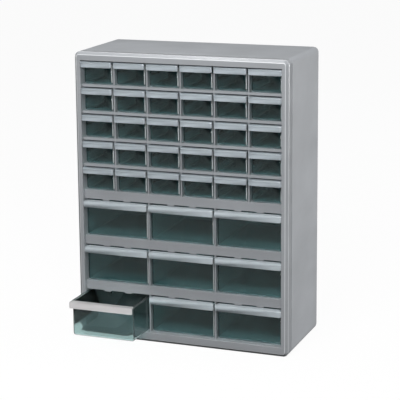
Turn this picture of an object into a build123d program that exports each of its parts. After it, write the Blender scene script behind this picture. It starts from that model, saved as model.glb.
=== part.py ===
from build123d import *

import os

os.makedirs("parts", exist_ok=True)

# A moulded cabinet with rows of clear pull-out drawers: many small ones above a few rows of large ones.
# Millimetres. X runs to the right, Y from the front to the back, Z up, and the cabinet stands on Z = 0.

# Grid of drawer cells, as seen through the front openings
large_columns = 3
small_per_large = 2
small_rows = 5
large_rows = 3
small_cell_width = 57.5
small_cell_height = 41.6
large_cell_height = 65.7
divider_edge = 2.6
small_bar = 4.5
large_bar = 15.7

# Whole cabinet
cabinet_depth = 178.0
corner_radius = 9.0

# Front frame: a hollow rim that stands proud of the grid
rim_side = 11.5
rim_top = 14.8
rim_bottom = 17.0
rim_recess = 8.0
frame_depth = 21.0
frame_wall = 2.4
frame_bevel = 5.0
bevel_rounding = 2.0
rim_mouth_rounding = 0.8

# Housing behind the front frame
housing_wall = 2.4
back_wall = 2.4
rear_rounding = 7.0
seam_gap = 1.5
seam_rounding = 0.5
tongue_length = 8.0
tongue_wall = 1.6
tongue_clearance = 0.15
tongue_root = 4.0

# Keyholes in the back wall, for hanging the cabinet on two screws
keyhole_entry_radius = 5.0
keyhole_slot_width = 5.0
keyhole_slot_rise = 9.0
keyhole_drop = 19.0

# Inner core of shelves and dividers
nose_depth = 3.0
nose_rounding = 0.5
shelf_thickness = 2.0
divider_thickness = 1.8
side_wall_thickness = 2.0
lap_clearance = 0.1
tab_pocket = 2.3
rear_space = 8.0
core_rib = 2.0
stop_nib_width = 12.0
stop_nib_drop = 1.8

# Drawers
lip_setback = 0.7
lip_reach = 9.6
lip_end_gap = 0.4
lip_thickness = 1.7
lip_rounding = 2.5
lip_corner = 2.0
flange_thickness = 1.3
drawer_floor_gap = 0.3
drawer_rear_gap = 2.0
drawer_bottom_rounding = 5.0
drawer_corner_rounding = 2.5
tab_rise = 1.5
small_wall = 1.3
small_side_gap = 2.8
small_lip_height = 10.2
small_top_gap = 1.6
small_tab_width = 14.0
large_wall = 1.6
large_side_gap = 2.0
large_lip_height = 11.0
large_top_gap = 3.2
large_tab_width = 10.0
open_drawer_pull = 68.0

# Sizes that follow from the ones above
small_columns = large_columns * small_per_large
small_pitch = small_cell_width + divider_edge
large_pitch = small_per_large * small_pitch
large_cell_width = large_pitch - divider_edge
grid_width = small_columns * small_pitch - divider_edge
grid_half = grid_width / 2
small_section_floor = rim_bottom + large_rows * (large_cell_height + large_bar)
grid_top = small_section_floor + small_rows * (small_cell_height + small_bar) - small_bar
cabinet_width = grid_width + 2 * rim_side
cabinet_height = grid_top + rim_top

front_y = -cabinet_depth / 2
back_y = cabinet_depth / 2
grid_y = front_y + rim_recess
core_front = grid_y + nose_depth
core_back = back_y - back_wall - rear_space
lap_y = (core_front + core_back) / 2
frame_rear = front_y + frame_depth
housing_front = frame_rear + seam_gap
core_half = grid_half + (divider_edge - divider_thickness) / 2
core_outer = core_half + side_wall_thickness
ceiling = grid_top + tab_pocket
drawer_front = front_y + lip_setback + lip_reach
drawer_length = core_back - drawer_rear_gap - drawer_front


def facing(y):
    """The upright plane at y that looks to the front, with its own x to the right and its own y up."""
    return Plane.XZ.offset(-y)


def column_lines(pitch, count):
    """Places from left to right of the lines between count columns."""
    return [(column - count / 2) * pitch for column in range(1, count)]


def column_centres(pitch, count):
    return [(column - (count - 1) / 2) * pitch for column in range(count)]


def block(x_limits, y_limits, z_limits, mode=Mode.ADD):
    """A flat-sided block between three pairs of limits, in the part that is being built."""
    with BuildSketch(Plane.XY.offset(z_limits[0])) as footprint:
        with Locations(((x_limits[0] + x_limits[1]) / 2, (y_limits[0] + y_limits[1]) / 2)):
            Rectangle(x_limits[1] - x_limits[0], y_limits[1] - y_limits[0])
    extrude(footprint.sketch, amount=z_limits[1] - z_limits[0], mode=mode)


def cabinet_outline(inset):
    """The cabinet's rounded front outline, drawn smaller by inset on every side."""
    with Locations((0, cabinet_height / 2)):
        return RectangleRounded(
            cabinet_width - 2 * inset, cabinet_height - 2 * inset, corner_radius - inset
        )


def grid_outline(margin, mode=Mode.ADD):
    """The rectangle round all the cells, drawn larger by margin on every side."""
    with Locations((0, (rim_bottom + grid_top) / 2)):
        return Rectangle(grid_width + 2 * margin, grid_top - rim_bottom + 2 * margin, mode=mode)


def save(part, name):
    part.label = name
    export_step(part, f"parts/{name}.step")


def make_frame_hollow():
    """The space inside the rim, between its outer wall and its return wall, bevelled like the rim."""
    with BuildPart() as hollow:
        with BuildSketch(facing(core_front)):
            cabinet_outline(frame_wall)
        extrude(amount=core_front - front_y - frame_wall)
        chamfer(hollow.faces().sort_by(Axis.Y)[0].edges(), frame_bevel - frame_wall * (2 - 2**0.5))
        with BuildSketch(facing(core_front)):
            grid_outline(frame_wall)
        extrude(amount=core_front - front_y, mode=Mode.SUBTRACT)
    return hollow.part


def make_front_frame():
    """Rim round the drawers: bevelled outside, a short return wall inside, and hollow at the back."""
    hollow = make_frame_hollow()
    with BuildPart() as frame:
        with BuildSketch(facing(frame_rear)):
            cabinet_outline(0)
        extrude(amount=frame_depth)
        chamfer(frame.faces().sort_by(Axis.Y)[0].edges(), frame_bevel)
        bevel_end = front_y + frame_bevel
        fillet(
            frame.faces().sort_by(Axis.Y)[0].edges()
            + frame.edges().filter_by_position(Axis.Y, bevel_end - 0.01, bevel_end + 0.01),
            bevel_rounding,
        )
        with BuildSketch(facing(frame_rear)):
            cabinet_outline(frame_wall)
        extrude(amount=frame_rear - core_front, mode=Mode.SUBTRACT)
        add(hollow, mode=Mode.SUBTRACT)
        with BuildSketch(facing(core_front)):
            grid_outline(0)
        extrude(amount=core_front - front_y, mode=Mode.SUBTRACT)
        fillet(frame.faces().sort_by(Axis.Y)[0].inner_wires()[0].edges(), rim_mouth_rounding)
        fillet(frame.faces().sort_by(Axis.Y)[-1].outer_wire().edges(), seam_rounding)
    return frame.part


def make_housing():
    """Tray that closes the cabinet behind the front frame, with a tongue that slides into the frame."""
    tongue_inset = frame_wall + tongue_clearance
    neck_inset = tongue_inset + tongue_wall
    with BuildPart() as housing:
        with BuildSketch(facing(back_y)):
            cabinet_outline(0)
        extrude(amount=back_y - housing_front)
        fillet(housing.faces().sort_by(Axis.Y)[-1].edges(), rear_rounding)
        fillet(housing.faces().sort_by(Axis.Y)[0].edges(), seam_rounding)
        with BuildSketch(facing(housing_front)):
            cabinet_outline(tongue_inset)
        extrude(amount=tongue_length)
        with BuildSketch(facing(housing_front + tongue_root)):
            cabinet_outline(neck_inset)
        extrude(amount=tongue_root + tongue_length, mode=Mode.SUBTRACT)
        with BuildSketch(facing(back_y - back_wall)):
            cabinet_outline(housing_wall)
        extrude(amount=back_y - back_wall - housing_front - tongue_root, mode=Mode.SUBTRACT)
        inner_back_edges = (
            housing.faces()
            .filter_by(Axis.Y)
            .filter_by_position(Axis.Y, back_y - back_wall - 0.01, back_y - back_wall + 0.01)[0]
            .outer_wire()
            .edges()
        )
        fillet(inner_back_edges, rear_rounding - back_wall)
        rib_lines = column_lines(large_pitch, large_columns)
        side_line = core_half + side_wall_thickness / 2
        for rib_x in [-side_line, *rib_lines, side_line]:
            block(
                (rib_x - core_rib / 2, rib_x + core_rib / 2),
                (core_back, back_y - back_wall),
                (rim_bottom, grid_top),
            )
        hanging_x = (small_columns - 1) / 2 * small_pitch
        with BuildSketch(facing(back_y)):
            with Locations((-hanging_x, grid_top - keyhole_drop), (hanging_x, grid_top - keyhole_drop)):
                Circle(keyhole_entry_radius)
            with Locations(
                (-hanging_x, grid_top - keyhole_drop + keyhole_slot_rise / 2),
                (hanging_x, grid_top - keyhole_drop + keyhole_slot_rise / 2),
            ):
                SlotCenterToCenter(keyhole_slot_rise, keyhole_slot_width, rotation=90)
        extrude(amount=back_wall, mode=Mode.SUBTRACT)
    return housing.part


def make_level_panel(cell_side, away_side, housing_face):
    """Flat panel over or under all the cells, with ribs that reach to the housing."""
    with BuildPart() as panel:
        block((-core_outer, core_outer), (core_front, core_back), sorted((cell_side, away_side)))
        rib_front = housing_front + tongue_root
        for rib_x in column_lines(small_pitch, small_columns):
            block(
                (rib_x - core_rib / 2, rib_x + core_rib / 2),
                (rib_front, core_back),
                sorted((away_side, housing_face)),
            )
    return panel.part


def make_side_wall(side):
    with BuildPart() as wall:
        x_limits = sorted((side * core_half, side * core_outer))
        block(x_limits, (core_front, core_back), (rim_bottom, ceiling))
    return wall.part


def cut_lap_slots(lines):
    """Slots open to the back of a shelf, for the dividers that stand on the given lines."""
    slot_half = divider_thickness / 2 + lap_clearance
    for line in lines:
        block(
            (line - slot_half, line + slot_half),
            (lap_y, core_back),
            (0, cabinet_height),
            mode=Mode.SUBTRACT,
        )


def round_nose(piece, along):
    """Rounds the two front edges of a shelf's or divider's front bar, which run along the given axis."""
    fillet(piece.edges().filter_by(along).group_by(Axis.Y)[0], nose_rounding)


def make_small_shelf(bar_top):
    """Thin shelf with a taller front edge, slotted at the back for the small dividers."""
    with BuildPart() as shelf:
        block((-grid_half, grid_half), (grid_y, core_front), (bar_top - small_bar, bar_top))
        round_nose(shelf, Axis.X)
        block((-core_half, core_half), (core_front, core_back), (bar_top - shelf_thickness, bar_top))
        cut_lap_slots(column_lines(small_pitch, small_columns))
    return shelf.part


def make_large_shelf(bar_top, divider_lines):
    """Hollow shelf: a tall front bar, a top plate, a plate below that keeps drawers level, and webs."""
    bar_bottom = bar_top - large_bar
    lower_plate = bar_bottom + tab_pocket
    web_lines = [x for x in column_lines(small_pitch, small_columns) if x not in divider_lines]
    end_line = core_half - core_rib / 2
    with BuildPart() as shelf:
        block((-grid_half, grid_half), (grid_y, core_front), (bar_bottom, bar_top))
        round_nose(shelf, Axis.X)
        block((-core_half, core_half), (core_front, core_back), (bar_top - shelf_thickness, bar_top))
        block((-core_half, core_half), (core_front, core_back), (lower_plate, lower_plate + shelf_thickness))
        for web_x in [-end_line, *web_lines, end_line]:
            block(
                (web_x - core_rib / 2, web_x + core_rib / 2),
                (core_front, core_back),
                (lower_plate, bar_top),
            )
        for cell_x in column_centres(large_pitch, large_columns):
            for nib_x in (cell_x - large_cell_width / 6, cell_x + large_cell_width / 6):
                block(
                    (nib_x - stop_nib_width / 2, nib_x + stop_nib_width / 2),
                    (grid_y, core_front),
                    (bar_bottom - stop_nib_drop, bar_bottom + nose_rounding),
                )
        cut_lap_slots(divider_lines)
    return shelf.part


def make_divider(line, z_low, edge_top, plate_top, bars):
    """Upright divider with a wider front edge, notched at the front to let each shelf pass.

    Each of the bars is a shelf's (lowest z of its front bar, lowest z of its plates, top z)."""
    with BuildPart() as divider:
        block(
            (line - divider_edge / 2, line + divider_edge / 2),
            (grid_y, core_front),
            (z_low, edge_top),
        )
        round_nose(divider, Axis.Z)
        block(
            (line - divider_thickness / 2, line + divider_thickness / 2),
            (core_front, core_back),
            (z_low, plate_top),
        )
        for bar_low, plate_low, bar_high in bars:
            block(
                (line - divider_edge, line + divider_edge),
                (grid_y, core_front),
                (bar_low - lap_clearance, bar_high + lap_clearance),
                mode=Mode.SUBTRACT,
            )
            block(
                (line - divider_edge, line + divider_edge),
                (core_front, lap_y + lap_clearance),
                (plate_low - lap_clearance, bar_high + lap_clearance),
                mode=Mode.SUBTRACT,
            )
    return divider.part


def make_drawer(
    cell_width, cell_height, side_gap, wall, lip_height, top_gap, tab_width, tab_places
):
    """Clear tray with a finger lip, side flanges and rear stop tabs.

    It is drawn with X = 0 on its middle line, Y = 0 on the front of its body and Z = 0 under its floor."""
    body_width = cell_width - 2 * side_gap
    body_height = cell_height - drawer_floor_gap - top_gap
    lip_half = cell_width / 2 - lip_end_gap
    with BuildPart() as drawer:
        with BuildSketch(Plane.XY):
            with Locations((0, drawer_length / 2)):
                Rectangle(body_width, drawer_length)
        extrude(amount=body_height)
        fillet(drawer.edges().filter_by(Axis.Z), drawer_corner_rounding)
        underside = drawer.faces().sort_by(Axis.Z)[0]
        fillet(underside.edges(), drawer_bottom_rounding)
        top_face = drawer.faces().sort_by(Axis.Z)[-1]
        offset(amount=-wall, openings=top_face)
        for side in (-1, 1):
            block(
                sorted((side * (body_width / 2 - wall), side * lip_half)),
                (wall, drawer_length - drawer_corner_rounding),
                (body_height - flange_thickness, body_height),
            )
        block(
            (-lip_half, lip_half),
            (-lip_reach, wall),
            (body_height - lip_thickness, body_height),
        )
        with BuildSketch(facing(lip_thickness - lip_reach)) as lip_front:
            with Locations((0, body_height - lip_height / 2)):
                Rectangle(2 * lip_half, lip_height)
            fillet(lip_front.vertices().group_by(Axis.Y)[0], lip_corner)
        extrude(amount=lip_thickness)
        lip_edge = drawer.edges().filter_by(Axis.X).group_by(Axis.Y)[0].sort_by(Axis.Z)[-1]
        fillet(lip_edge, lip_rounding)
        for tab_x in tab_places:
            block(
                (tab_x - tab_width / 2, tab_x + tab_width / 2),
                (drawer_length - wall, drawer_length),
                (body_height - drawer_bottom_rounding, cell_height - drawer_floor_gap + tab_rise),
            )
    return drawer.part


def place(drawer, x, floor_z, pull=0.0):
    """A copy of a drawer in the cell whose middle is x and whose floor is floor_z, pulled out by pull."""
    return drawer.moved(Location((x, drawer_front - pull, floor_z + drawer_floor_gap)))


save(make_front_frame(), "front_frame")
save(make_housing(), "housing")
save(make_level_panel(rim_bottom, rim_bottom - shelf_thickness, housing_wall), "floor_panel")
save(
    make_level_panel(ceiling, ceiling + shelf_thickness, cabinet_height - housing_wall),
    "ceiling_panel",
)
save(make_side_wall(-1), "left_inner_wall")
save(make_side_wall(1), "right_inner_wall")

small_shelf_tops = [
    small_section_floor + row * (small_cell_height + small_bar) for row in range(1, small_rows)
]
for number, shelf_top in enumerate(small_shelf_tops, start=1):
    save(make_small_shelf(shelf_top), f"small_shelf_{number}")

large_divider_lines = column_lines(large_pitch, large_columns)
large_shelf_tops = [
    rim_bottom + row * (large_cell_height + large_bar) for row in range(1, large_rows + 1)
]
for number, shelf_top in enumerate(large_shelf_tops, start=1):
    crossing_lines = large_divider_lines if number < large_rows else []
    save(make_large_shelf(shelf_top, crossing_lines), f"large_shelf_{number}")

small_bars = [(top - small_bar, top - shelf_thickness, top) for top in small_shelf_tops]
for number, line in enumerate(column_lines(small_pitch, small_columns), start=1):
    save(
        make_divider(line, small_section_floor, grid_top, ceiling, small_bars),
        f"small_divider_{number}",
    )

large_bars = [(top - large_bar, top - large_bar + tab_pocket, top) for top in large_shelf_tops]
top_bar_bottom = large_bars[-1][0]
for number, line in enumerate(large_divider_lines, start=1):
    save(
        make_divider(line, rim_bottom, top_bar_bottom, top_bar_bottom + tab_pocket, large_bars[:-1]),
        f"large_divider_{number}",
    )

small_drawer = make_drawer(
    small_cell_width,
    small_cell_height,
    small_side_gap,
    small_wall,
    small_lip_height,
    small_top_gap,
    small_tab_width,
    [0],
)
for row in range(small_rows):
    floor_z = small_section_floor + (small_rows - 1 - row) * (small_cell_height + small_bar)
    for column, x in enumerate(column_centres(small_pitch, small_columns)):
        save(place(small_drawer, x, floor_z), f"small_drawer_r{row + 1}_c{column + 1}")

large_drawer = make_drawer(
    large_cell_width,
    large_cell_height,
    large_side_gap,
    large_wall,
    large_lip_height,
    large_top_gap,
    large_tab_width,
    [-large_cell_width / 6, large_cell_width / 6],
)
for row in range(large_rows):
    floor_z = rim_bottom + (large_rows - 1 - row) * (large_cell_height + large_bar)
    for column, x in enumerate(column_centres(large_pitch, large_columns)):
        stands_open = row == large_rows - 1 and column == 0
        pull = open_drawer_pull if stands_open else 0.0
        save(place(large_drawer, x, floor_z, pull), f"large_drawer_r{row + 1}_c{column + 1}")
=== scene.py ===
import math

import bmesh
import bpy
from mathutils import Matrix, Vector


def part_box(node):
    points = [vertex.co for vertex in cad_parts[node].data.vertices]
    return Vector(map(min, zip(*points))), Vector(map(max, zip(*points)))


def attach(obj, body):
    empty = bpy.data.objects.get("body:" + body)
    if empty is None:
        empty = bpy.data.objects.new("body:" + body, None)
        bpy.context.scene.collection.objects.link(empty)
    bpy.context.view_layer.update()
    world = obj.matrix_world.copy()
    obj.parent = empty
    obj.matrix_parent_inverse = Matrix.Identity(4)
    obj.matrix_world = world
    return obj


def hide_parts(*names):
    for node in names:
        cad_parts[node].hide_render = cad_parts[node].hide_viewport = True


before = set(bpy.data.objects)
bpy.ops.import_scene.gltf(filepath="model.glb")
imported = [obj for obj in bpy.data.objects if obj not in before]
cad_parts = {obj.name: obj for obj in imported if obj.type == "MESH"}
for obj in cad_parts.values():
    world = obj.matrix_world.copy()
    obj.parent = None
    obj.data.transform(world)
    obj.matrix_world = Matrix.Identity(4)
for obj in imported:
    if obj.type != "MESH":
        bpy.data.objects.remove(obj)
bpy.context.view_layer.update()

MM = 0.001
IMAGE_SIDE = 400  # pixels, each way

# The camera that the photograph's cabinet edges give, in metres in the cabinet's frame
CAMERA_PLACE = Vector((0.920, -2.428, 0.8533))
CAMERA_TARGET = Vector((-0.0346, -0.089, 0.3240))
CAMERA_ROLL = math.radians(0.79)
FOCAL_PIXELS = 1533.0
SENSOR_WIDTH = 36.0
PRINCIPAL_POINT = (160.0, 160.0)


def place_camera():
    data = bpy.data.cameras.new("camera")
    data.sensor_fit = "HORIZONTAL"
    data.sensor_width = SENSOR_WIDTH
    data.lens = FOCAL_PIXELS / IMAGE_SIDE * SENSOR_WIDTH
    data.shift_x = 0.5 - PRINCIPAL_POINT[0] / IMAGE_SIDE
    data.shift_y = PRINCIPAL_POINT[1] / IMAGE_SIDE - 0.5
    data.clip_start = 0.05
    camera = bpy.data.objects.new("camera", data)
    bpy.context.scene.collection.objects.link(camera)
    forward = (CAMERA_TARGET - CAMERA_PLACE).normalized()
    level_right = forward.cross(Vector((0, 0, 1))).normalized()
    level_up = level_right.cross(forward)
    up = level_up * math.cos(CAMERA_ROLL) + level_right * math.sin(CAMERA_ROLL)
    right = forward.cross(up)
    axes = Matrix((right, up, -forward)).transposed()
    camera.matrix_world = Matrix.Translation(CAMERA_PLACE) @ axes.to_4x4()
    bpy.context.scene.camera = camera


class Shader:
    """A node material under construction: nodes by type, and links by socket name."""

    def __init__(self, name):
        self.material = bpy.data.materials.new(name)
        self.material.use_nodes = True
        self.tree = self.material.node_tree
        self.tree.nodes.clear()
        self.coordinates = self.add("ShaderNodeTexCoord").outputs["Object"]

    def add(self, kind, inputs=None, **settings):
        """Adds a node, sets its properties, then sets or links its inputs."""
        node = self.tree.nodes.new(kind)
        for key, value in settings.items():
            setattr(node, key, value)
        for key, value in (inputs or {}).items():
            if isinstance(value, bpy.types.NodeSocket):
                self.tree.links.new(value, node.inputs[key])
            else:
                node.inputs[key].default_value = value
        return node

    def noise(self, scale, detail=2.0, roughness=0.5, stretch=(1, 1, 1)):
        """Noise over the object's own coordinates, scale in features a metre."""
        mapping = self.add("ShaderNodeMapping", {"Vector": self.coordinates, "Scale": stretch})
        node = self.add(
            "ShaderNodeTexNoise",
            {"Vector": mapping.outputs[0], "Scale": scale, "Detail": detail, "Roughness": roughness},
        )
        return node.outputs["Fac"]

    def remap(self, value, low, high, out_low, out_high):
        node = self.add(
            "ShaderNodeMapRange",
            {"Value": value, "From Min": low, "From Max": high, "To Min": out_low, "To Max": out_high},
        )
        return node.outputs["Result"]

    def calculate(self, operation, first, second):
        node = self.add("ShaderNodeMath", {0: first, 1: second}, operation=operation)
        return node.outputs[0]

    def mix(self, factor, first, second):
        node = self.add(
            "ShaderNodeMix", {"Factor": factor, "A": first, "B": second}, data_type="RGBA"
        )
        return node.outputs["Result"]

    def bump(self, height, strength, distance, normal=None):
        inputs = {"Height": height, "Strength": strength, "Distance": distance}
        if normal is not None:
            inputs["Normal"] = normal
        return self.add("ShaderNodeBump", inputs).outputs["Normal"]

    def finish(self, shader):
        self.add("ShaderNodeOutputMaterial", {"Surface": shader})
        return self.material


def linear(red, green, blue):
    """A linear RGBA colour from the sRGB values, 0 to 255, that it is seen as."""
    channels = []
    for value in (red, green, blue):
        share = value / 255
        channels.append(share / 12.92 if share <= 0.04045 else ((share + 0.055) / 1.055) ** 2.4)
    return (*channels, 1.0)


# A pale tone painted on the frame's outer roundings: a painted highlight where they catch the light
PAINTED_EDGE_HIGHLIGHT = linear(214, 217, 220)
EDGE_BAND = 10 * MM
# Share of the front in the surface's normal, and how much painted highlight the surface gets there:
# the sides, the bevel and the front are plain, and the roundings between them carry the painted highlight
PAINTED_HIGHLIGHT_STOPS = ((0.0, 0.0), (0.12, 0.7), (0.6, 0.7), (0.69, 0.0), (0.73, 0.0), (0.79, 1.0), (0.98, 1.0), (0.995, 0.0))


def edge_highlight_mask(shader, node_name):
    """Where the painted highlight goes: 1 on the rounded outer edges of a frame that faces the front, 0 elsewhere."""
    low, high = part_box(node_name)
    middle = (low + high) / 2
    half = (high - low) / 2
    place = shader.add("ShaderNodeSeparateXYZ", {0: shader.coordinates})
    reaches = []
    for axis, centre_value, half_value in (("X", middle.x, half.x), ("Z", middle.z, half.z)):
        from_centre = shader.calculate("SUBTRACT", place.outputs[axis], centre_value)
        distance = shader.calculate("ABSOLUTE", from_centre, 0.0)
        reaches.append(shader.calculate("SUBTRACT", distance, half_value - EDGE_BAND))
    near_edge = shader.calculate("GREATER_THAN", shader.calculate("MAXIMUM", *reaches), 0.0)
    facing = shader.add("ShaderNodeTexCoord").outputs["Normal"]
    parts = shader.add("ShaderNodeSeparateXYZ", {0: facing})
    front_share = shader.calculate("ABSOLUTE", parts.outputs["Y"], 0.0)
    ramp = shader.add("ShaderNodeValToRGB", {"Fac": front_share})
    stops = ramp.color_ramp.elements
    while len(stops) > 1:
        stops.remove(stops[-1])
    stops[0].position = PAINTED_HIGHLIGHT_STOPS[0][0]
    stops[0].color = (PAINTED_HIGHLIGHT_STOPS[0][1],) * 3 + (1.0,)
    for position, level in PAINTED_HIGHLIGHT_STOPS[1:]:
        stops.new(position).color = (level, level, level, 1.0)
    return shader.calculate("MULTIPLY", ramp.outputs["Color"], near_edge)


def grey_plastic(name, base, grain, roughness, sheen, painted_highlight_node=None):
    """Moulded grey polystyrene: fine spark texture, slow changes of tone, light rubbing, and a painted highlight on a
    given frame's outer roundings.
    """
    shader = Shader(name)
    cloud = shader.noise(9.0, detail=3.0)
    flow = shader.noise(14.0, detail=2.0, stretch=(1.0, 1.0, 3.0))
    speck = shader.noise(1500.0, detail=1.0)
    wear = shader.noise(60.0, detail=6.0, roughness=0.7)
    dark = tuple(value * 0.94 for value in base[:3]) + (1.0,)
    pale = tuple(min(1.0, value * 1.06) for value in base[:3]) + (1.0,)
    tone = shader.mix(shader.remap(cloud, 0.35, 0.65, 0.0, 1.0), dark, pale)
    tone = shader.mix(shader.remap(speck, 0.4, 0.75, 0.0, 0.12), tone, dark)
    tone = shader.mix(shader.remap(wear, 0.62, 0.8, 0.0, 0.25), tone, pale)
    # The given frame's outer roundings get a pale tone, a painted highlight
    if painted_highlight_node:
        edge_highlight = edge_highlight_mask(shader, painted_highlight_node)
        tone = shader.mix(edge_highlight, tone, PAINTED_EDGE_HIGHLIGHT)
    gloss = shader.remap(flow, 0.3, 0.7, roughness - 0.06, roughness + 0.06)
    normal = shader.bump(speck, grain, 0.1 * MM)
    normal = shader.bump(cloud, 0.15, 0.6 * MM, normal)
    plastic = shader.add(
        "ShaderNodeBsdfPrincipled",
        {
            "Base Color": tone,
            "Roughness": gloss,
            "IOR": 1.5,
            "Coat Weight": sheen,
            "Coat Roughness": 0.18,
            "Normal": normal,
        },
    )
    return shader.finish(plastic.outputs[0])


def clear_plastic(name, tint, roughness):
    """Clear polystyrene: a cool tint, moulding ripples and fine rubbing marks; a tint stronger than the plastic's own
    is painted cool shade.
    """
    shader = Shader(name)
    ripple = shader.noise(35.0, detail=2.0, stretch=(1.0, 0.4, 1.0))
    rubbing = shader.noise(260.0, detail=5.0, roughness=0.7, stretch=(1.0, 0.15, 1.0))
    gloss = shader.remap(rubbing, 0.45, 0.75, roughness, roughness + 0.06)
    normal = shader.bump(ripple, 0.2, 0.08 * MM)
    plastic = shader.add(
        "ShaderNodeBsdfPrincipled",
        {
            "Base Color": tint,
            "Roughness": gloss,
            "IOR": 1.5,
            "Transmission Weight": 1.0,
            "Normal": normal,
        },
    )
    # A wall has two faces, and each lets the square root of the wall's tint pass
    face_tint = tuple(math.sqrt(value) for value in tint[:3]) + (1.0,)
    passing = shader.add("ShaderNodeBsdfTransparent", {"Color": face_tint})
    ray = shader.add("ShaderNodeLightPath")
    both = shader.add(
        "ShaderNodeMixShader",
        {0: ray.outputs["Is Shadow Ray"], 1: plastic.outputs[0], 2: passing.outputs[0]},
    )
    return shader.finish(both.outputs[0])


def frosted_plastic(name, tone, clearness, top_tone=None, lip=None):
    """The finger lips: the same polystyrene, hazed, in tones that are partly painted light: paler for a lip out in the
    light, darker for lips in the frame's shade.

    The colour goes from the darker top tone at the lip's top to the full tone at its lower edge;
    lip is the height of its top and the length that the change takes to build up.
    """
    shader = Shader(name)
    haze = shader.noise(70.0, detail=4.0, stretch=(0.4, 1.0, 1.6))
    rubbing = shader.noise(420.0, detail=4.0, roughness=0.7, stretch=(0.2, 1.0, 1.0))
    faint = tuple(value * 0.9 for value in tone[:3]) + (1.0,)
    colour = shader.mix(shader.remap(haze, 0.35, 0.65, 0.0, 1.0), faint, tone)
    # Darker towards the lip's top, from the top tone down to the full tone
    if top_tone:
        place = shader.add("ShaderNodeSeparateXYZ", {0: shader.coordinates})
        top, reach = lip
        depth = shader.remap(place.outputs["Z"], top - LIP_PLAIN, top - reach, 0.0, 1.0)
        colour = shader.mix(depth, top_tone, colour)
    gloss = shader.remap(rubbing, 0.4, 0.75, 0.16, 0.28)
    normal = shader.bump(rubbing, 0.2, 0.1 * MM)
    plastic = shader.add(
        "ShaderNodeBsdfPrincipled",
        {
            "Base Color": colour,
            "Roughness": gloss,
            "IOR": 1.5,
            "Transmission Weight": clearness,
            "Coat Weight": 0.6,
            "Coat Roughness": 0.1,
            "Normal": normal,
        },
    )
    return shader.finish(plastic.outputs[0])


def background_rays(shader):
    """1 for the rays that should see a white background, 0 for those that light the object."""
    ray = shader.add("ShaderNodeLightPath")
    return shader.add(
        "ShaderNodeMath",
        {0: ray.outputs["Is Camera Ray"], 1: ray.outputs["Is Transmission Ray"]},
        operation="MAXIMUM",
    ).outputs[0]


FLOOR_SIDE = 24.0
FLOOR_DIVISIONS = 12


def make_floor():
    shader = Shader("floor_paper")
    fibre = shader.noise(90.0, detail=4.0)
    paper = shader.mix(shader.remap(fibre, 0.3, 0.7, 0.0, 1.0), linear(236, 236, 236), linear(242, 242, 242))
    paper = shader.mix(background_rays(shader), linear(70, 70, 70), paper)
    lit = shader.add("ShaderNodeBsdfDiffuse", {"Color": paper, "Roughness": 0.4})
    glow = shader.add("ShaderNodeEmission", {"Color": (1.0, 1.0, 1.0, 1.0), "Strength": 1.0})
    share = shader.add(
        "ShaderNodeMath", {0: background_rays(shader), 1: 0.95}, operation="MULTIPLY"
    )
    both = shader.add(
        "ShaderNodeMixShader", {0: share.outputs[0], 1: lit.outputs[0], 2: glow.outputs[0]}
    )
    material = shader.finish(both.outputs[0])
    mesh = bpy.data.meshes.new("floor")
    step = FLOOR_SIDE / FLOOR_DIVISIONS
    places = range(FLOOR_DIVISIONS + 1)
    corners = [(x * step - FLOOR_SIDE / 2, y * step - FLOOR_SIDE / 2, 0.0) for y in places for x in places]
    row = FLOOR_DIVISIONS + 1
    faces = [
        (y * row + x, y * row + x + 1, (y + 1) * row + x + 1, (y + 1) * row + x)
        for y in range(FLOOR_DIVISIONS)
        for x in range(FLOOR_DIVISIONS)
    ]
    mesh.from_pydata(corners, [], faces)
    mesh.materials.append(material)
    floor = bpy.data.objects.new("floor", mesh)
    bpy.context.scene.collection.objects.link(floor)


def make_world():
    world = bpy.data.worlds.new("studio")
    world.use_nodes = True
    tree = world.node_tree
    tree.nodes.clear()
    ray = tree.nodes.new("ShaderNodeLightPath")
    seen = tree.nodes.new("ShaderNodeMath")
    seen.operation = "MAXIMUM"
    tree.links.new(ray.outputs["Is Camera Ray"], seen.inputs[0])
    tree.links.new(ray.outputs["Is Transmission Ray"], seen.inputs[1])
    level = tree.nodes.new("ShaderNodeMapRange")
    tree.links.new(seen.outputs[0], level.inputs["Value"])
    level.inputs["To Min"].default_value = WORLD_LEVEL
    level.inputs["To Max"].default_value = 1.0
    glow = tree.nodes.new("ShaderNodeBackground")
    tree.links.new(level.outputs["Result"], glow.inputs["Strength"])
    output = tree.nodes.new("ShaderNodeOutputWorld")
    tree.links.new(glow.outputs[0], output.inputs[0])
    bpy.context.scene.world = world


def add_lamp(name, place, target, width, height, power):
    data = bpy.data.lights.new(name, "AREA")
    data.shape = "RECTANGLE"
    data.size = width
    data.size_y = height
    data.energy = power
    lamp = bpy.data.objects.new(name, data)
    lamp.location = place
    lamp.rotation_euler = (Vector(target) - Vector(place)).to_track_quat("-Z", "Y").to_euler()
    bpy.context.scene.collection.objects.link(lamp)


WORLD_LEVEL = 0.24
EDGE_ROUNDING = 0.3 * MM
SHARP_ANGLE = math.radians(35)
LIP_REACH = 9.6 * MM
CORNER_HIGHLIGHT_WIDTH = 1.5 * MM
CORNER_ROUNDING = 2.2 * MM
FLANGE_CLEAR = 12 * MM
SKIN = 0.4 * MM
OPEN_DRAWER = "large_drawer_r3_c1"
LIP_PLAIN = 2.0 * MM
LIP_TOP_TONE_REACH = 8.0 * MM


def ease_edges(form):
    """Merges the solid's facets into whole faces and rounds its sharp edges."""
    bmesh.ops.remove_doubles(form, verts=form.verts, dist=0.001 * MM)
    bmesh.ops.dissolve_limit(
        form, angle_limit=math.radians(0.5), verts=form.verts, edges=form.edges
    )
    sharp = [
        edge
        for edge in form.edges
        if edge.is_manifold and edge.calc_face_angle(0.0) > SHARP_ANGLE
    ]
    bmesh.ops.bevel(
        form,
        geom=sharp,
        offset=EDGE_ROUNDING,
        segments=2,
        profile=0.5,
        affect="EDGES",
        clamp_overlap=True,
    )


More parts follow.
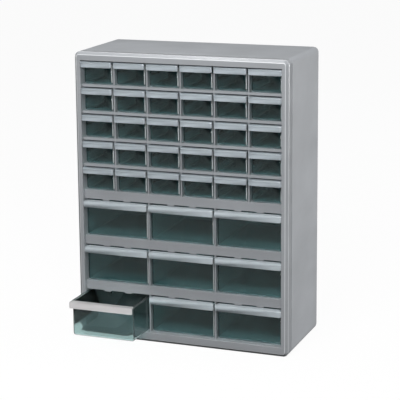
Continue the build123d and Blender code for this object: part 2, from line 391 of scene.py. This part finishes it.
def make_drawer_mesh(node, materials, corner_highlight_width):
    """A drawer's own shape with eased edges; its lip, and its right front corner with a painted highlight, take the
    other materials.
    """
    mesh = node.data.copy()
    mesh.name = node.name + "_moulding"
    mesh.materials.clear()
    for material in materials:
        mesh.materials.append(material)
    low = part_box(node.name)[0]
    front = low.y + LIP_REACH
    form = bmesh.new()
    form.from_mesh(mesh)
    ease_edges(form)
    body_right = max(vert.co.x for vert in form.verts if vert.co.z < low.z + FLANGE_CLEAR)
    corner = body_right - corner_highlight_width
    if corner_highlight_width > 0:
        bmesh.ops.bisect_plane(
            form,
            geom=form.verts[:] + form.edges[:] + form.faces[:],
            plane_co=(corner, front, 0),
            plane_no=(1, 0, 0),
        )
    bmesh.ops.triangulate(form, faces=[face for face in form.faces if len(face.verts) > 4])
    for face in form.faces:
        face.smooth = True
        middle = face.calc_center_median()
        if middle.y < front - SKIN:
            face.material_index = 1
        # The right front corner strip takes the painted highlight material
        elif corner_highlight_width > 0 and middle.y < front + CORNER_ROUNDING and middle.x > corner:
            face.material_index = 2
        else:
            face.material_index = 0
    form.to_mesh(mesh)
    form.free()
    mesh.set_sharp_from_angle(angle=math.radians(40))
    return mesh


def dress_drawers(names, materials, corner_highlight_width):
    """The drawers of one size, in one shared mesh, each in its own node's place."""
    first = names[0]
    mesh = make_drawer_mesh(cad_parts[first], materials, corner_highlight_width)
    for name in names:
        drawer = bpy.data.objects.new(name + "_moulding", mesh)
        drawer.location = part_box(name)[0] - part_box(first)[0]
        bpy.context.scene.collection.objects.link(drawer)
        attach(drawer, name)
        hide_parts(name)


frame_grey = grey_plastic("frame_grey", linear(158, 161, 165), grain=0.35, roughness=0.36, sheen=0.5, painted_highlight_node="front_frame")
housing_grey = grey_plastic("housing_grey", linear(158, 161, 165), grain=0.35, roughness=0.5, sheen=0.0)
# The core's grey is a darker copy of the frame's grey: painted shade for the cabinet's inside, on its front edges too
core_grey = grey_plastic("core_grey", linear(150, 153, 157), grain=0.2, roughness=0.42, sheen=0.2)
# The closed drawers' plastic is tinted more teal than the open drawer's: the plastic's own tint plus painted cool
# shade for the closed cells
drawer_clear = clear_plastic("drawer_clear", linear(202, 224, 224), roughness=0.05)
open_drawer_clear = clear_plastic("open_drawer_clear", linear(208, 226, 225), roughness=0.05)
# The open drawer's lip is paler: painted light for a lip out in the light
open_lip_haze_painted_light = frosted_plastic("open_lip_haze_painted_light", linear(236, 234, 235), 0.4)
# A pale frosted strip on each drawer's right front corner: a painted highlight
corner_painted_highlight = frosted_plastic("corner_painted_highlight", linear(226, 232, 234), 0.3)

GREYS = {"front_frame": frame_grey, "housing": housing_grey}
for name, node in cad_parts.items():
    node.data.materials.clear()
    node.data.materials.append(GREYS.get(name, core_grey))

drawers = sorted(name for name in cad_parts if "_drawer_" in name)
small = [name for name in drawers if name.startswith("small")]
large = [name for name in drawers if name.startswith("large") and name != OPEN_DRAWER]
# The closed drawers' lips, small here and large below, are darker copies: painted shade for lips under the frame
small_lip_haze_painted_shade = frosted_plastic(
    "small_lip_haze_painted_shade",
    linear(206, 216, 223),
    0.3,
    top_tone=linear(163, 172, 179),
    lip=(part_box(small[0])[1].z, LIP_TOP_TONE_REACH),
)
large_lip_haze_painted_shade = frosted_plastic(
    "large_lip_haze_painted_shade",
    linear(224, 234, 240),
    0.3,
    top_tone=linear(178, 186, 192),
    lip=(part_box(large[0])[1].z, LIP_TOP_TONE_REACH),
)
dress_drawers(small, [drawer_clear, small_lip_haze_painted_shade, corner_painted_highlight], CORNER_HIGHLIGHT_WIDTH)
dress_drawers(large, [drawer_clear, large_lip_haze_painted_shade, corner_painted_highlight], CORNER_HIGHLIGHT_WIDTH)
dress_drawers([OPEN_DRAWER], [open_drawer_clear, open_lip_haze_painted_light], 0.0)

make_world()
make_floor()
centre = (0.0, 0.0, 0.25)
add_lamp("front_softbox", (0.15, -1.2, 1.15), centre, 0.9, 0.5, 16.5)
# The side and left lamps stand lower than the cabinet's top, so they don't glare on it
add_lamp("side_softbox", (2.4, 1.3, 0.27), centre, 1.4, 0.4, 55.0)
add_lamp("left_softbox", (-2.2, 0.2, 0.38), centre, 2.0, 0.2, 6.0)
add_lamp("overhead_softbox", (0.0, 0.3, 2.2), (0.0, 0.1, 0.5), 1.0, 0.6, 10.5)
add_lamp("top_strip", (-0.3, -0.33, 1.7), (0.0, -0.09, 0.5), 1.2, 0.1, 4.0)
add_lamp("front_strip", (1.5, -2.6, 0.85), (0.0, 0.0, 0.35), 0.07, 1.0, 11.0)
add_lamp("low_strip", (0.4, -1.25, 0.18), (0.19, -0.09, 0.3), 0.04, 0.34, 0.2)
place_camera()

settings = bpy.context.scene.view_settings
settings.view_transform = "Standard"
